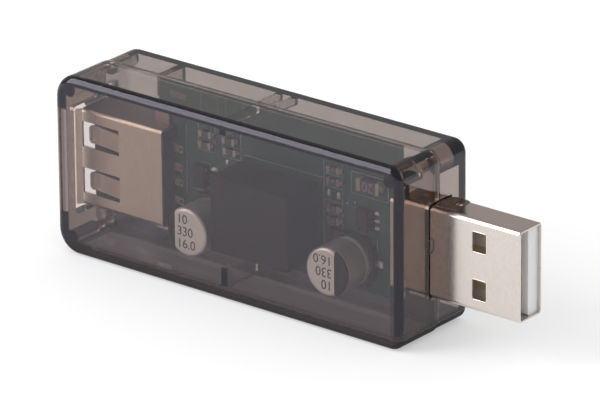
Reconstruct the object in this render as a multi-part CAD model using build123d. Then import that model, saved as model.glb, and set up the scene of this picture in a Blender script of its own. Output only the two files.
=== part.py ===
from build123d import *
import os

os.makedirs("parts", exist_ok=True)

# In-line USB isolator. X runs along the case with the plug at +X, Y runs from the front cover (-Y) to the
# rear cover (+Y), Z is up. The origin is under the middle of the whole length, on the surface it stands on.
# All sizes are in millimetres.

# Case
case_length = 54.85
case_depth = 13.7
case_height = 23.95
front_depth = 7.4           # front shell, from its face to the seam
wall = 1.5                  # ends, top and bottom
face_wall = 1.2             # front and rear faces
rear_step = 0.13            # the rear shell is this much smaller all round
socket_end_radius = 3.2
plug_end_radius = 1.9
inner_corner_radius = 0.2    # inside the case at the plug end, at least
front_edge_radius = 1.0
rear_edge_radius = 0.8

# Tongue on the front shell's rim, and the groove that takes it
tongue_height = 0.9
tongue_thickness = 0.5
tongue_clearance = 0.1
seam_gap = 0.05             # between the two rims

# Ribs that hold the board, and the pegs that line the shells up
rib_thickness = 1.0
rib_overlap = 0.7           # how far a rib reaches over the board's edge
board_play = 0.05           # between the board and each rib or stop
rib_offset = 0.6            # front rib, from the middle of the case towards the socket
rear_rib_spacing = 2.4
stop_thickness = 1.2
stop_gap = 1.2              # from the socket's narrow sides to the stops
peg_inset = 2.1             # from the case's end and side to the peg's axis
peg_radius = 0.9
pin_radius = 0.55
peg_length = 4.1
pin_length = 3.6
boss_radius = 1.35
boss_gap = 1.5              # from the peg's shoulder to the boss
pin_clearance = 0.1

# Plug
plug_drop = 0.475           # its axis, below the case's middle
plug_reach = 13.6           # from the case's end to the plug's tip
plug_width = 12.0
plug_thickness = 4.5
plug_middle = 8.05          # its mid-plane, from the front face
plug_sheet = 0.3
plug_bend_radius = 0.6
plug_cavity = 9.7           # depth of the open mouth
plug_board_gap = 0.7        # from the board's end to the shell's
plug_seam = 0.08            # butt joint of the folded sheet
plug_tip_chamfer = 0.12
plug_clearance = 0.1        # round the shell, in the case's end
window_width = 2.65
window_length = 2.2
window_from_tip = 5.0
window_spacing = 6.2
window_radius = 0.3
plug_tongue_thickness = 1.95
plug_tongue_setback = 0.4

# Contacts
contact_width = 1.0
contact_thickness = 0.2
contact_proud = 0.05
contact_clearance = 0.03
contact_offsets = (-3.5, -1.0, 1.0, 3.5)
plug_contact_setback = 1.4
plug_tail_length = 1.5
tail_bend = 1.2

# Socket
socket_drop = 0.275         # its axis, below the case's middle
socket_width = 13.1
socket_thickness = 5.72
socket_length = 13.0        # without its flared lips
socket_over_board = 3.0     # how far it reaches past the board's end
socket_sheet = 0.3
socket_bend_radius = 0.6
socket_recess = 0.6         # lips, inside the case's end
lip_flare = 0.6
lip_length = 0.55
wide_lip_margin = 0.15      # from a lip's end to the shell's side
narrow_lip_margin = 0.9
lip_clearance = 0.12
front_lip_clearance = 1.3   # towards the front face, where the opening is wider
socket_block = 3.6          # the insulator behind the cavity
socket_tongue_thickness = 1.84
socket_tongue_gap = 0.66    # between tongue and shell on the tongue's side
socket_tongue_length = 8.4
socket_tongue_width = 11.1
socket_tail_length = 1.1
finger_spacing = 6.25
finger_width = 2.4
finger_slot = 0.5
finger_length = 5.2
finger_setback = 0.85       # from the flare to the finger's tip
finger_tip_gap = 0.8        # from the tip to the window's end
finger_dip = 0.5
finger_bend = 0.75          # share of its length where it dips most
finger_tip_rise = 0.2       # share of the dip that its tip curls back
finger_bend_radius = 1.5
finger_tip_radius = 0.5
dimple_size = 1.5
dimple_depth = 0.1
dimple_from_tip = 0.95
tab_length = 2.2
tab_reach = 1.3
tab_setback = 0.7
notch_clearance = 0.2

# Board
board_thickness = 1.6
board_length = 37.4
board_base = 3.35           # lower edge above the base
board_headroom = 1.6        # upper edge below the case's top
board_corner_radius = 0.4
pin_hole_radius = 0.45

# Isolated power converter: a potted block with four legs
converter_size = (12.3, 10.1, 6.0)
converter_place = (17.8, 7.5)
converter_edge_radius = 0.25
leg_pitch = 2.54
leg_width = 0.5
leg_thickness = 0.3
leg_drop = 1.0
leg_standoff = 2.0          # from the board's face to the leg
leg_through = 0.8
leg_bend_radius = 0.24

# Two electrolytic capacitors, lying with their tops to the front
left_base_gap = 0.61        # from the converter to each base
right_base_gap = 2.57
left_can_height = 3.88      # axis over the board's lower edge
right_can_height = 4.15
can_radius = 3.2
capacitor_height = 5.95
base_size = 6.6
base_thickness = 1.0
base_chamfer = 1.3
base_lip = 0.35
base_lip_gap = 0.05
can_edge = 0.3
groove_depth = 0.25
groove_half = 0.4
groove_height = 1.9
lead_width = 0.65
lead_thickness = 0.2
lead_clearance = 0.02
lead_reach = 0.5

# Small parts on the board. A place is the distance from its plug end and the height over its lower edge
fuse_size = (3.5, 1.55, 0.9)
fuse_place = (3.25, 14.3)
small_size = (1.95, 0.85, 0.5)
column_distance = 8.95
column_heights = (15.0, 13.5, 9.95, 8.4)
left_places = ((29.2, 14.95), (29.3, 13.45), (25.45, 14.85), (25.3, 13.45))
rear_capacitor_places = ((25.5, 9.6), (9.5, 9.6))
small_edge = 0.06

# Chips: body length along Z, body width along X, height off the board, legs on each side and their pitch
right_chip = {"length": 2.8, "width": 1.6, "height": 1.1, "legs": 3, "pitch": 0.97, "leg_width": 0.4,
              "span": 3.2}
right_chip_place = (4.0, 9.8)
left_chip = {"length": 2.9, "width": 1.7, "height": 1.1, "legs": 3, "pitch": 0.99, "leg_width": 0.4,
             "span": 3.0}
left_chip_place = (29.85, 9.3)
isolator_chip = {"length": 10.3, "width": 7.5, "height": 2.45, "legs": 8, "pitch": 1.27, "leg_width": 0.42,
                 "span": 10.3}
isolator_chip_place = (17.5, 9.9)
chip_standoff = 0.1
chip_leg_thickness = 0.18
chip_foot = 0.5
chip_leg_root = 0.1         # how far a leg reaches into the body
chip_draft = 5.0

# Datums worked out from the sizes above
overall_length = case_length + plug_reach
tip_x = overall_length / 2
plug_end_x = tip_x - plug_reach
socket_end_x = plug_end_x - case_length
case_middle_x = (plug_end_x + socket_end_x) / 2
front_y = -case_depth / 2
rear_y = case_depth / 2
seam_y = front_y + front_depth
plug_axis = case_height / 2 - plug_drop
socket_axis = case_height / 2 - socket_drop
front_wall_y = front_y + face_wall
rear_wall_y = rear_y - face_wall
plug_y = front_y + plug_middle
board_front_y = plug_y - board_thickness / 2
board_rear_y = plug_y + board_thickness / 2
board_top = case_height - board_headroom
board_height = board_top - board_base
socket_mouth_x = socket_end_x + socket_recess + lip_length
socket_rear_x = socket_mouth_x + socket_length
board_socket_x = socket_rear_x - socket_over_board
board_plug_x = board_socket_x + board_length
plug_rear_x = board_plug_x + plug_board_gap
stop_x = board_socket_x - board_play
socket_y = seam_y
converter_left = converter_place[0] + converter_size[0] / 2
converter_right = converter_place[0] - converter_size[0] / 2
capacitor_places = {
    "left": (converter_left + left_base_gap + base_size / 2, left_can_height),
    "right": (converter_right - right_base_gap - base_size / 2, right_can_height),
}


def slab(x, y, z):
    """A box between two corners, each argument a (low, high) pair."""
    size = [high - low for low, high in (x, y, z)]
    middle = [(high + low) / 2 for low, high in (x, y, z)]
    return Pos(*middle) * Box(*size)


def prism(sketch, y_low, y_high):
    """A sketch of X and Z, drawn flat, stretched from y_low to y_high."""
    return Pos(0, y_high, 0) * Rot(90, 0, 0) * extrude(sketch, y_high - y_low)


def tube_section(x, width, thickness, radius, sheet, y_middle, axis_height):
    """The section of a folded rectangular shell, across X, as a face with its hole."""
    plane = Plane(origin=(x, y_middle, axis_height), x_dir=(0, 0, 1), z_dir=(1, 0, 0))
    outer = RectangleRounded(width, thickness, radius)
    inner = RectangleRounded(width - 2 * sheet, thickness - 2 * sheet, radius - sheet)
    return plane * (outer - inner)


def bent_strip(path, thickness, z_middle, width):
    """A flat strip across Z. Its path is (x, y) points of one face, and the other lies at y + thickness."""
    other_face = [(x, y + thickness) for x, y in reversed(path)]
    profile = make_face(Polyline(*path, *other_face, close=True))
    return Pos(0, 0, z_middle - width / 2) * extrude(profile, width)


def on_board(place):
    """X and Z of a place given from the board's plug end and lower edge."""
    return board_plug_x - place[0], board_base + place[1]


# Case shells
def case_outline(inset):
    """The case's outline seen from the front, moved inwards by inset."""
    outline = Rectangle(case_length - 2 * inset, case_height - 2 * inset)
    outline = fillet(outline.vertices().group_by(Axis.X)[0], socket_end_radius - inset)
    plug_end_corners = outline.vertices().group_by(Axis.X)[-1]
    outline = fillet(plug_end_corners, max(plug_end_radius - inset, inner_corner_radius))
    return Pos(case_middle_x, case_height / 2) * outline


def end_openings():
    """The two ways through the case's ends, for the socket's lips and for the plug."""
    socket_room = lip_flare + lip_clearance
    lip_z = socket_width / 2 + socket_room
    lip_front = socket_y - socket_thickness / 2 - lip_flare - front_lip_clearance
    lip_rear = socket_y + socket_thickness / 2 + socket_room
    plug_z = plug_width / 2 + plug_clearance
    plug_half = plug_thickness / 2 + plug_clearance
    across_wall = wall + 1
    socket_way = Box(2 * across_wall, lip_rear - lip_front, 2 * lip_z)
    socket_way = fillet(socket_way.edges().filter_by(Axis.X), socket_bend_radius)
    plug_way = Box(2 * across_wall, 2 * plug_half, 2 * plug_z)
    plug_way = fillet(plug_way.edges().filter_by(Axis.X), plug_bend_radius + plug_clearance)
    return [
        Pos(socket_end_x, (lip_front + lip_rear) / 2, socket_axis) * socket_way,
        Pos(plug_end_x, plug_y, plug_axis) * plug_way,
    ]


def rib_pair(x_middle, thickness, y_low, y_high):
    """A rib on the top wall and one on the bottom wall, each reaching over the board's edge."""
    x_span = (x_middle - thickness / 2, x_middle + thickness / 2)
    root = wall / 2
    top = slab(x_span, (y_low, y_high), (board_top - rib_overlap, case_height - root))
    bottom = slab(x_span, (y_low, y_high), (root, board_base + rib_overlap))
    return top + bottom


def stop_pair(y_low, y_high):
    """Stops above and below the socket that the board's end rests against."""
    x_span = (stop_x - stop_thickness, stop_x)
    root = wall / 2
    reach = socket_width / 2 + stop_gap
    top = slab(x_span, (y_low, y_high), (socket_axis + reach, case_height - root))
    bottom = slab(x_span, (y_low, y_high), (root, socket_axis - reach))
    return top + bottom


def peg_centres():
    """Two pegs by the socket, and one over the plug."""
    near_socket = socket_end_x + peg_inset
    near_plug = plug_end_x - peg_inset
    top = case_height - peg_inset
    return [(near_socket, peg_inset), (near_socket, top), (near_plug, top)]


def round_post(centre, radius, y_low, y_high):
    return prism(Pos(*centre) * Circle(radius), y_low, y_high)


def make_front_shell():
    shell = prism(case_outline(0), front_y, seam_y)
    shell = fillet(shell.faces().sort_by(Axis.Y)[0].edges(), front_edge_radius)
    tongue = prism(case_outline(wall - tongue_thickness), seam_y, seam_y + tongue_height)
    shell = shell + tongue
    shell -= prism(case_outline(wall), front_wall_y, seam_y + tongue_height)
    rib_end = board_front_y - board_play
    shell += rib_pair(case_middle_x - rib_offset, rib_thickness, front_y + face_wall / 2, rib_end)
    shoulder_y = front_wall_y + peg_length
    for centre in peg_centres():
        shell += round_post(centre, peg_radius, front_y + face_wall / 2, shoulder_y)
        shell += round_post(centre, pin_radius, shoulder_y, shoulder_y + pin_length)
    for opening in end_openings():
        shell -= opening
    return shell


def make_rear_shell():
    rim_y = seam_y + seam_gap
    shell = prism(case_outline(rear_step), rim_y, rear_y)
    shell = fillet(shell.faces().sort_by(Axis.Y)[-1].edges(), rear_edge_radius)
    shell -= prism(case_outline(wall), rim_y, rear_wall_y)
    groove = case_outline(wall - tongue_thickness - tongue_clearance)
    shell -= prism(groove, seam_y, seam_y + tongue_height + tongue_clearance)
    for side in (-1, 1):
        x = case_middle_x + side * rear_rib_spacing / 2
        shell += rib_pair(x, rib_thickness, board_rear_y + board_play, rear_y - face_wall / 2)
    clear_of_tongue = seam_y + tongue_height + tongue_clearance
    shell += stop_pair(clear_of_tongue, rear_y - face_wall / 2)
    boss_y = front_wall_y + peg_length + boss_gap
    pin_end = front_wall_y + peg_length + pin_length + pin_clearance
    inside = prism(case_outline(wall - tongue_thickness - tongue_clearance), seam_y, rear_y - face_wall / 2)
    for centre in peg_centres():
        boss = round_post(centre, boss_radius, max(boss_y, clear_of_tongue), rear_y - face_wall / 2)
        shell += boss & inside
        shell -= round_post(centre, pin_radius + pin_clearance, boss_y, pin_end)
    for opening in end_openings():
        shell -= opening
    return shell


# Circuit board
def make_board():
    middle = ((board_socket_x + board_plug_x) / 2, board_base + board_height / 2)
    outline = Rectangle(board_length, board_height)
    outline = fillet(outline.vertices(), board_corner_radius)
    outline = Pos(*middle) * outline
    notch_end = socket_rear_x + notch_clearance
    notch_half = socket_width / 2 + notch_clearance
    notch_width = 2 * (notch_end - board_socket_x)
    outline -= Pos(board_socket_x, socket_axis) * Rectangle(notch_width, 2 * notch_half)
    for x in leg_xs():
        outline -= Pos(x, leg_axis_z()) * Circle(pin_hole_radius)
    return prism(outline, board_front_y, board_rear_y)


# Plug
def make_plug_shell():
    length = tip_x - plug_rear_x
    section = tube_section(
        plug_rear_x, plug_width, plug_thickness, plug_bend_radius, plug_sheet, plug_y, plug_axis
    )
    shell = extrude(section, length)
    tip = shell.faces().sort_by(Axis.X)[-1]
    shell = chamfer(tip.outer_wire().edges(), plug_tip_chamfer)
    window = Box(window_length, 2 * plug_thickness, window_width)
    window = fillet(window.edges().filter_by(Axis.Y), window_radius)
    window_x = tip_x - window_from_tip - window_length / 2
    for side in (-1, 1):
        shell -= Pos(window_x, plug_y, plug_axis + side * window_spacing / 2) * window
    far_face_y = plug_y + plug_thickness / 2
    seam = slab(
        (plug_rear_x, tip_x),
        (far_face_y - plug_sheet, far_face_y),
        (plug_axis - plug_seam / 2, plug_axis + plug_seam / 2),
    )
    return shell - seam


def plug_tongue_y():
    """The tongue's free face. Its other face lies on the inside of the shell's far wall."""
    return plug_y + plug_thickness / 2 - plug_sheet - plug_tongue_thickness


def plug_contact(z_offset, growth):
    """A contact, or with growth the channel that takes it."""
    face_y = plug_tongue_y() - contact_proud - growth
    tail_y = board_rear_y - growth
    bend_x = tip_x - plug_cavity - tail_bend
    path = [
        (tip_x - plug_contact_setback + growth, face_y),
        (bend_x, face_y),
        (bend_x - tail_bend, tail_y),
        (board_plug_x - plug_tail_length, tail_y),
    ]
    thickness = contact_thickness + 2 * growth
    return bent_strip(path, thickness, plug_axis + z_offset, contact_width + 2 * growth)


def make_plug_insulator():
    """The block that fills the shell behind its mouth, and the tongue in front of it."""
    inner_width = plug_width - 2 * plug_sheet
    inner_half = plug_thickness / 2 - plug_sheet
    z_span = (plug_axis - inner_width / 2, plug_axis + inner_width / 2)
    block_x = tip_x - plug_cavity
    block = slab((plug_rear_x, block_x), (plug_y - inner_half, plug_y + inner_half), z_span)
    tongue = slab((block_x, tip_x - plug_tongue_setback), (plug_tongue_y(), plug_y + inner_half), z_span)
    body = block + tongue
    body = fillet(body.edges().filter_by(Axis.X).group_by(Axis.Z)[0], plug_bend_radius - plug_sheet)
    body = fillet(body.edges().filter_by(Axis.X).group_by(Axis.Z)[-1], plug_bend_radius - plug_sheet)
    for z_offset in contact_offsets:
        body -= plug_contact(z_offset, contact_clearance)
    return body


# Socket
def finger_profile(side):
    """One spring finger seen along Z: it slopes inwards, bends and curls back out at its tip."""
    tip_end_x = socket_mouth_x + finger_setback
    root_x = tip_end_x + finger_length
    bend_x = root_x - finger_length * finger_bend
    outer_y = side * socket_thickness / 2
    outer = [
        (root_x, outer_y),
        (bend_x, outer_y - side * finger_dip),
        (tip_end_x, outer_y - side * finger_dip * (1 - finger_tip_rise)),
    ]
    inner = [(x, y - side * socket_sheet) for x, y in outer]
    profile = make_face(Polyline(*outer, *reversed(inner), close=True))
    bends = profile.vertices().sort_by(lambda corner: abs(corner.X - bend_x))[:2]
    return fillet(bends, finger_bend_radius)


def make_finger(side, z_middle):
    blade = extrude(finger_profile(side), finger_width)
    tip_face = blade.faces().sort_by(Axis.X)[0]
    blade = fillet(tip_face.edges().filter_by(Axis.Z, reverse=True), finger_tip_radius)
    return Pos(0, socket_y, z_middle - finger_width / 2) * blade


def flared_lip(side, across_y):
    """One of four lips round the mouth. It bends outwards and stops short of the corners."""
    near = (socket_thickness if across_y else socket_width) / 2
    margin = wide_lip_margin if across_y else narrow_lip_margin
    span = (socket_width if across_y else socket_thickness) - 2 * margin
    mouth = socket_mouth_x
    profile = make_face(Polyline(
        (mouth, side * near),
        (mouth - lip_length, side * (near + lip_flare)),
        (mouth - lip_length, side * (near + lip_flare - socket_sheet)),
        (mouth, side * (near - socket_sheet)),
        close=True,
    ))
    lip = Pos(0, 0, -span / 2) * extrude(profile, span)
    if not across_y:
        lip = Rot(90, 0, 0) * lip
    return Pos(0, socket_y, socket_axis) * lip


def solder_tab(side):
    """A foot folded out of the shell's narrow side, flat on the board's face."""
    z_side = socket_axis + side * socket_width / 2
    z_end = z_side + side * tab_reach
    x_span = (socket_rear_x - tab_setback - tab_length, socket_rear_x - tab_setback)
    z_root = z_side - side * socket_sheet / 2
    return slab(x_span, (board_front_y - socket_sheet, board_front_y), sorted((z_root, z_end)))


def make_socket_shell():
    section = tube_section(
        socket_mouth_x,
        socket_width,
        socket_thickness,
        socket_bend_radius,
        socket_sheet,
        socket_y,
        socket_axis,
    )
    shell = extrude(section, socket_length)
    window_size = (finger_length + finger_tip_gap, 2 * socket_sheet, finger_width + 2 * finger_slot)
    window_x = socket_mouth_x + finger_setback - finger_tip_gap + window_size[0] / 2
    for side in (-1, 1):
        face_y = socket_y + side * socket_thickness / 2
        for row in (-1, 1):
            z = socket_axis + row * finger_spacing / 2
            shell -= Pos(window_x, face_y, z) * Box(*window_size)
            shell += make_finger(side, z)
            dimple_x = socket_mouth_x + finger_setback + dimple_from_tip
            dimple_floor = finger_dip + dimple_depth
            dimple_y = face_y - side * dimple_floor / 2
            shell -= Pos(dimple_x, dimple_y, z) * Box(dimple_size, dimple_floor, dimple_size)
        shell += flared_lip(side, True)
        shell += flared_lip(side, False)
        shell += solder_tab(side)
    return shell


def socket_tongue_face():
    """The face of the socket's tongue that carries the contacts."""
    return socket_y - socket_thickness / 2 + socket_sheet + socket_tongue_gap + socket_tongue_thickness


def socket_contact(z_offset, growth):
    """A contact, or with growth the channel that takes it."""
    block_x = socket_rear_x - socket_block
    face_y = socket_tongue_face() + contact_proud - contact_thickness - growth
    tail_y = board_front_y - contact_thickness - growth
    path = [
        (block_x - socket_tongue_length + plug_contact_setback - growth, face_y),
        (block_x + tail_bend, face_y),
        (block_x + 2 * tail_bend, tail_y),
        (socket_rear_x + notch_clearance + socket_tail_length, tail_y),
    ]
    thickness = contact_thickness + 2 * growth
    return bent_strip(path, thickness, socket_axis + z_offset, contact_width + 2 * growth)


def make_socket_insulator():
    """The dark block at the socket's back, and the tongue that stands in its mouth."""
    inner_half_z = socket_width / 2 - socket_sheet
    inner_half_y = socket_thickness / 2 - socket_sheet
    block_x = socket_rear_x - socket_block
    block = slab(
        (block_x, socket_rear_x),
        (socket_y - inner_half_y, socket_y + inner_half_y),
        (socket_axis - inner_half_z, socket_axis + inner_half_z),
    )
    block = fillet(block.edges().filter_by(Axis.X), socket_bend_radius - socket_sheet)
    tongue = slab(
        (block_x - socket_tongue_length, block_x),
        (socket_tongue_face() - socket_tongue_thickness, socket_tongue_face()),
        (socket_axis - socket_tongue_width / 2, socket_axis + socket_tongue_width / 2),
    )
    tongue = chamfer(tongue.faces().sort_by(Axis.X)[0].edges(), socket_sheet)
    body = block + tongue
    for z_offset in contact_offsets:
        body -= socket_contact(z_offset, contact_clearance)
    return body


# Power converter
def converter_span():
    """Low and high X, Y and Z of the potted block."""
    x, z = on_board(converter_place)
    length, height, depth = converter_size
    x_span = (x - length / 2, x + length / 2)
    z_span = (z - height / 2, z + height / 2)
    return x_span, (board_front_y - depth, board_front_y), z_span


def leg_xs():
    middle = on_board(converter_place)[0]
    return [middle + (index - 1.5) * leg_pitch for index in range(4)]


def leg_axis_z():
    return converter_span()[2][0] - leg_drop + leg_thickness / 2


def make_converter():
    block = slab(*converter_span())
    front = block.faces().sort_by(Axis.Y)[0].edges()
    uprights = block.edges().filter_by(Axis.Y)
    return fillet(front + uprights, converter_edge_radius)


def make_leg(x):
    """A leg leaves the block's underside, turns and passes through the board."""
    low = converter_span()[2][0] - leg_drop
    high = converter_span()[2][0]
    near = board_front_y - leg_standoff
    far = board_rear_y + leg_through
    x_span = (x - leg_width / 2, x + leg_width / 2)
    upright = slab(x_span, (near, near + leg_thickness), (low, high))
    through = slab(x_span, (near, far), (low, low + leg_thickness))
    leg = upright + through
    outer_bend = leg.edges().filter_by(Axis.X).group_by(Axis.Y)[0].sort_by(Axis.Z)[0]
    return fillet(outer_bend, leg_bend_radius)


# Electrolytic capacitors
def can_profile():
    """Half the section of a can, radius along X and height over the board along Y."""
    seat = base_thickness - base_lip
    return make_face(Polyline(
        (0, seat),
        (can_radius, seat),
        (can_radius, groove_height - groove_half),
        (can_radius - groove_depth, groove_height),
        (can_radius, groove_height + groove_half),
        (can_radius, capacitor_height - can_edge),
        (can_radius - can_edge, capacitor_height),
        (0, capacitor_height),
        close=True,
    ))


def towards_front(solid, place):
    """Lays a part built upwards along Y on the board's front face, so that it grows towards -Y."""
    x, z = on_board(place)
    return Pos(x, board_front_y, z) * Rot(180, 0, 0) * solid


def make_can(place):
    return towards_front(revolve(can_profile(), Axis.Y), place)


def make_capacitor_base(place, marked_side):
    """A square moulded seat with two cut corners on its marked side, and a round recess for the can."""
    outline = Rectangle(base_size, base_size)
    corners = outline.vertices().group_by(Axis.X)[0 if marked_side < 0 else -1]
    outline = chamfer(corners, base_chamfer)
    x, z = on_board(place)
    base_front = board_front_y - base_thickness
    base = prism(Pos(x, z) * outline, base_front, board_front_y)
    recess = Pos(x, z) * Circle(can_radius + base_lip_gap)
    base -= prism(recess, base_front, base_front + base_lip)
    for side in (-1, 1):
        base -= capacitor_lead(place, side, lead_clearance)
    return base


def capacitor_lead(place, side, growth):
    """A flat lead under the base, soldered where it comes out, or with growth its slot."""
    x, z = on_board(place)
    inner = x + side * (base_size / 4 - growth)
    outer = x + side * (base_size / 2 + lead_reach)
    half = lead_width / 2 + growth
    y_span = (board_front_y - lead_thickness, board_front_y)
    return slab(sorted((inner, outer)), y_span, (z - half, z + half))


# Chips and small parts
def make_chip(chip, place, facing):
    """A moulded body with gull-wing legs at its two sides.

    facing is -1 on the board's front and 1 on its rear.
    """
    x, z = on_board(place)
    rise = chip["height"] - chip_standoff
    middle = chip_standoff + rise / 2
    half = Rectangle(chip["width"], chip["length"])
    body = extrude(half, rise / 2, taper=chip_draft)
    body = body + mirror(body, Plane.XY)
    body = Pos(0, 0, middle) * body
    shoulder = chip["width"] / 2 + (chip["span"] - chip["width"]) / 2 - chip_foot
    root = chip["width"] / 2 - chip_leg_root
    leg_path = [
        (root, middle),
        (shoulder, middle),
        (shoulder, 0),
        (chip["span"] / 2, 0),
        (chip["span"] / 2, chip_leg_thickness),
        (shoulder + chip_leg_thickness, chip_leg_thickness),
        (shoulder + chip_leg_thickness, middle + chip_leg_thickness),
        (root, middle + chip_leg_thickness),
    ]
    leg_width = chip["leg_width"]
    leg = extrude(Plane.XZ * make_face(Polyline(*leg_path, close=True)), leg_width / 2, both=True)
    for index in range(chip["legs"]):
        offset = (index - (chip["legs"] - 1) / 2) * chip["pitch"]
        body += Pos(0, offset, 0) * leg
        body += Pos(0, offset, 0) * mirror(leg, Plane.YZ)
    seat_y = board_front_y if facing < 0 else board_rear_y
    return Pos(x, seat_y, z) * Rot(90 if facing < 0 else -90, 0, 0) * body


def make_small_part(size, place, facing, upright=False):
    """A ceramic chip part, soldered at its ends."""
    length, width, height = size
    x, z = on_board(place)
    if upright:
        length, width = width, length
    seat_y = board_front_y if facing < 0 else board_rear_y
    middle_y = seat_y + facing * height / 2
    return Pos(x, middle_y, z) * chamfer(Box(length, height, width).edges(), small_edge)


# Every piece by name
pieces = {
    "front_shell": make_front_shell(),
    "rear_shell": make_rear_shell(),
    "circuit_board": make_board(),
    "plug_shell": make_plug_shell(),
    "plug_insulator": make_plug_insulator(),
    "socket_shell": make_socket_shell(),
    "socket_insulator": make_socket_insulator(),
    "converter": make_converter(),
    "fuse": make_small_part(fuse_size, fuse_place, -1),
    "right_chip": make_chip(right_chip, right_chip_place, -1),
    "left_chip": make_chip(left_chip, left_chip_place, -1),
    "isolator_chip": make_chip(isolator_chip, isolator_chip_place, 1),
}
for number, z_offset in enumerate(contact_offsets, 1):
    pieces[f"plug_contact_{number}"] = plug_contact(z_offset, 0)
    pieces[f"socket_contact_{number}"] = socket_contact(z_offset, 0)
for number, x in enumerate(leg_xs(), 1):
    pieces[f"converter_leg_{number}"] = make_leg(x)
for name, place in capacitor_places.items():
    marked_side = -1 if name == "left" else 1
    pieces[f"{name}_capacitor_can"] = make_can(place)
    pieces[f"{name}_capacitor_base"] = make_capacitor_base(place, marked_side)
    pieces[f"{name}_capacitor_lead_1"] = capacitor_lead(place, -1, 0)
    pieces[f"{name}_capacitor_lead_2"] = capacitor_lead(place, 1, 0)
for number, height in enumerate(column_heights, 1):
    pieces[f"column_resistor_{number}"] = make_small_part(small_size, (column_distance, height), -1)
for number, place in enumerate(left_places, 1):
    pieces[f"left_resistor_{number}"] = make_small_part(small_size, place, -1)
for number, place in enumerate(rear_capacitor_places, 1):
    pieces[f"rear_capacitor_{number}"] = make_small_part(small_size, place, 1, upright=True)

for name, piece in pieces.items():
    piece.label = name
    export_step(piece, f"parts/{name}.step")
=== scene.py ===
"""The looks of an in-line USB isolator: a clear smoked case, its board, a nickel plug and a socket.

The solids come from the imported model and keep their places. This script gives them their finishes, adds the
print, the solder and the fine marks, and sets the floor, the lamp and the camera of the photograph. Lengths
are in millimetres where nothing else is said.
"""
import bmesh
import bpy
import math
import numpy as np
from mathutils import Matrix, Vector


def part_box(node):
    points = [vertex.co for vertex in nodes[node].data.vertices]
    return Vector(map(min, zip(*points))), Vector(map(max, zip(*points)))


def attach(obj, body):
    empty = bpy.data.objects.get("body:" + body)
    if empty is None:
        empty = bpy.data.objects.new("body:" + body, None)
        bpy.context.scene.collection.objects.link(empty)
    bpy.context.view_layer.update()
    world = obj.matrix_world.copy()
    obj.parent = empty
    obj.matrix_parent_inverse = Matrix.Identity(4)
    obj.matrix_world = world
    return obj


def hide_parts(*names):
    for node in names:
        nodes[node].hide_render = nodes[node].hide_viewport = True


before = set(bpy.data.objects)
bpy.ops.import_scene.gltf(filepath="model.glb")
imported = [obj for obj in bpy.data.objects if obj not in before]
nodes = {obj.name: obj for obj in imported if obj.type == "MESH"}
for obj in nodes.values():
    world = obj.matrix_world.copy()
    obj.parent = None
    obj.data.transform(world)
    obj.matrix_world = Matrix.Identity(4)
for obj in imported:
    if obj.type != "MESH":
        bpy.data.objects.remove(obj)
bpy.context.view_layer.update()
MM = 0.001
HAIR = 0.004                        # keeps the faces of two pieces out of one plane
X, Y, Z = range(3)


# Places read from the solids
def node_span(name):
    """Low and high x, y and z of a CAD node."""
    low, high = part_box(name)
    return np.array([low, high]).T / MM


(_, BOARD_PLUG_END), (BOARD_FACE, BOARD_BACK), (BOARD_BASE, BOARD_TOP) = node_span("circuit_board")
SOCKET_TAB_REACH = 1.3              # how far the socket's tabs stand out past its shell, above and below


def on_board(distance, height):
    """X and z of a place given from the board's plug end and lower edge."""
    return BOARD_PLUG_END - distance, BOARD_BASE + height


# Meshes
MOUND_TURNS = 24
MOUND_STEPS = 5
MOUND_POWER = 0.6                   # under 1, it squares a round outline
NUMBER_RISE = 0.012
WELD_DISTANCE = 0.0001


def add_piece(name, mesh, finish):
    """Gives a mesh its finish, puts it into the scene and lets it ride on the part."""
    mesh.materials.clear()
    mesh.materials.append(finish)
    piece = bpy.data.objects.new(name, mesh)
    bpy.context.scene.collection.objects.link(piece)
    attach(piece, "root")
    return piece


def new_piece(name, points, faces, finish, smooth=False):
    """Makes a piece from its points and its faces as rows of indices."""
    mesh = bpy.data.meshes.new(name)
    mesh.from_pydata((np.asarray(points) * MM).tolist(), [], [list(map(int, face)) for face in faces])
    mesh.polygons.foreach_set("use_smooth", np.full(len(mesh.polygons), smooth))
    mesh.validate()
    return add_piece(name, mesh, finish)


def full_turn(count):
    """Evenly spaced angles round a circle."""
    return np.linspace(0, 2 * np.pi, count, endpoint=False)


def closed_tube_faces(count, sides):
    """Faces of a tube that closes on itself: count rings of as many points as it has sides."""
    here, ring = np.meshgrid(np.arange(count), np.arange(sides), indexing="ij")
    there, next_ring = (here + 1) % count, (ring + 1) % sides
    corners = [here * sides + ring, there * sides + ring, there * sides + next_ring, here * sides + next_ring]
    return np.stack(corners, -1).reshape(-1, 4)


def capped_rings(rings, turns):
    """Faces of a closed stack of rings, from the foot up. The foot's and the top's point follow the rings."""
    here = np.arange(turns)
    there = (here + 1) % turns
    foot = np.full(turns, rings * turns)
    last = (rings - 1) * turns
    faces = [*np.stack([there, here, foot], -1), *np.stack([last + here, last + there, foot + 1], -1)]
    for low in np.arange(rings - 1) * turns:
        high = low + turns
        faces.extend(np.stack([low + here, low + there, high + there, high + here], -1))
    return faces


def plates(name, boxes, finish):
    """Closed thin boxes in one mesh. boxes holds rows x0, x1, y0, y1, z0, z1.

    Each box's eight points are all the choices of its low or high x, y and z.
    """
    boxes = np.asarray(boxes, float)
    choice = np.array([[i, j, k] for i in (0, 1) for j in (0, 1) for k in (0, 1)])
    points = np.stack([boxes[:, 2 * axis + choice[:, axis]] for axis in (X, Y, Z)], -1)
    quads = np.array([[0, 1, 3, 2], [4, 6, 7, 5], [0, 4, 5, 1], [2, 3, 7, 6], [0, 2, 6, 4], [1, 5, 7, 3]])
    faces = quads + 8 * np.arange(len(boxes))[:, None, None]
    new_piece(name, points.reshape(-1, 3), faces.reshape(-1, 4), finish)


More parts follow.
